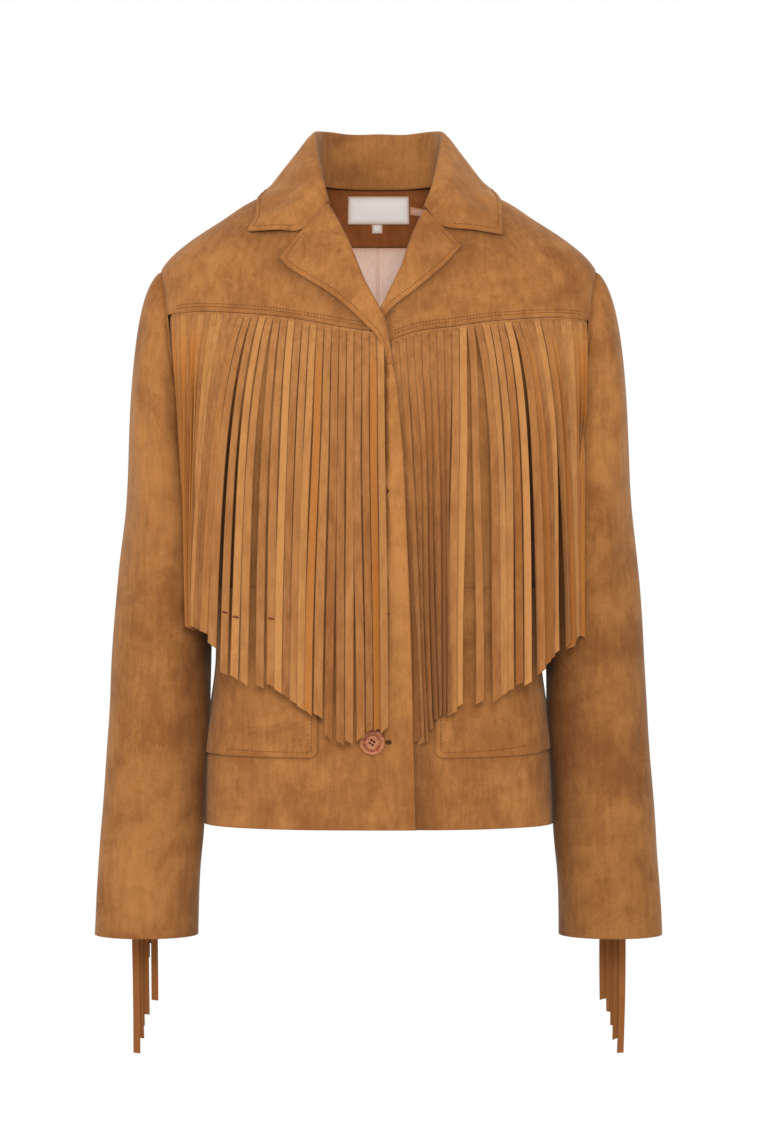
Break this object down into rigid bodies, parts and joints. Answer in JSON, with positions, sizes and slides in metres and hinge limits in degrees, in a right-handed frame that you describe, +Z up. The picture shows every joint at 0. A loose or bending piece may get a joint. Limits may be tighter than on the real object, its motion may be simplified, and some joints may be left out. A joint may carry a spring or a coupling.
{
  "type": "fringed suede jacket",
  "caption": "Short western jacket in tan suede with notched collar, yokes, patch pockets, and fringes on the chest and sleeves, held open as if worn.",
  "frame": {"origin": "inside the base of the neck, where the wearer's shoulders hold the jacket up, midway between its sides", "axes": "+Z up along the wearer's body, -Y to the front, +X to the wearer's left"},
  "size_m": [0.5242, 0.241, 0.875],
  "materials": {
    "suede": "napped suede, mottled tan",
    "facing_suede": "napped suede, darker brown",
    "fringe_suede": "cut suede strands",
    "lining_satin": "pale pink satin",
    "label_weave": "off-white woven, blank",
    "ribbon": "pale pink ribbon",
    "button_resin": "marbled coral resin"
  },
  "bodies": {
    "root": {"back": "suede", "collar": "suede", "front_left": "suede", "front_right": "suede", "lapel_left": "suede", "lapel_right": "suede", "pocket_left": "suede", "pocket_right": "suede", "sleeve_left": "suede", "sleeve_right": "suede", "yoke_left": "suede", "yoke_right": "suede", "neck_facing": "facing_suede", "chest_fringe_left": "fringe_suede", "chest_fringe_right": "fringe_suede", "sleeve_fringe_left": "fringe_suede", "sleeve_fringe_right": "fringe_suede", "back_lining": "lining_satin", "label": "label_weave", "label_tab": "label_weave", "hang_loop": "ribbon", "button_1": "button_resin", "button_2": "button_resin", "button_3": "button_resin", "button_4": "button_resin"}
  },
  "joints": []
}
